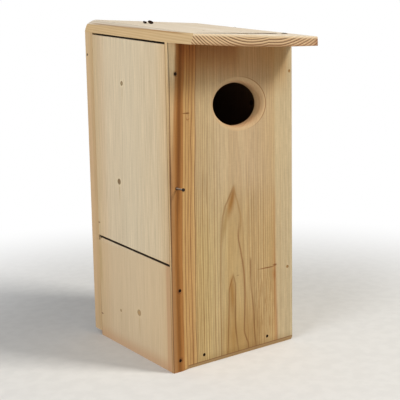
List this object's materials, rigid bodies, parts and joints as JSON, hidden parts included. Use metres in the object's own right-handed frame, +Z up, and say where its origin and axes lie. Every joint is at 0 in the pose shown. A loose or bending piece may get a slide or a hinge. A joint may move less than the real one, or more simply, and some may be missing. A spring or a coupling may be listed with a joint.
{
  "type": "duck nesting box",
  "caption": "Wooden nesting box for cavity-nesting ducks, with an oval entrance, a sloping roof and a side door that swings out on pivot nails and locks with a pull-out nail.",
  "frame": {"origin": "under the middle of the whole box, roof included, at the boards' lower ends", "axes": "+Z up; the entrance faces -Y; +X is to the right of someone facing the entrance"},
  "size_m": [0.275, 0.3571, 0.6182],
  "materials": {
    "front_wood": "bare sawn pine, oiled by the weather to a warm tan",
    "side_wood": "bare sawn pine, straight grain, pale straw",
    "back_wood": "bare sawn pine, edge slightly darker",
    "roof_wood": "bare planed pine, bleached pale on top, end grain at the front",
    "floor_wood": "bare sawn pine",
    "nail_steel": "dull dark iron nail heads",
    "latch_steel": "bare wire nail, bright shank and dark head",
    "mesh_zinc": "galvanised wire, matte spangle"
  },
  "bodies": {
    "box": {"front_board": "front_wood", "back_board": "back_wood", "right_side_panel": "side_wood", "side_lower_panel": "side_wood", "floor": "floor_wood", "roof": "roof_wood", "ladder_mesh": "mesh_zinc", "ladder_staples": "mesh_zinc", "door_pivot_nails": "nail_steel", "front_left_nails": "nail_steel", "front_right_nails": "nail_steel", "front_floor_nails": "nail_steel", "back_left_nails": "nail_steel", "back_right_nails": "nail_steel", "back_floor_nails": "nail_steel", "roof_front_nails": "nail_steel", "roof_back_nails": "nail_steel", "roof_side_nails": "nail_steel", "roof_proud_nails": "nail_steel"},
    "door": {"side_door": "side_wood"},
    "latch": {"latch_nail": "latch_steel"}
  },
  "joints": [
    {"name": "door_hinge", "type": "hinge", "parent": "box", "child": "door", "pos_m": [-0.1215, 0, 0.512], "axis": [0, 1, 0], "range_deg": [0, 140]},
    {"name": "latch_slide", "type": "slide", "parent": "box", "child": "latch", "axis": [0, 1, 0], "range_m": [0, 0.016]}
  ]
}
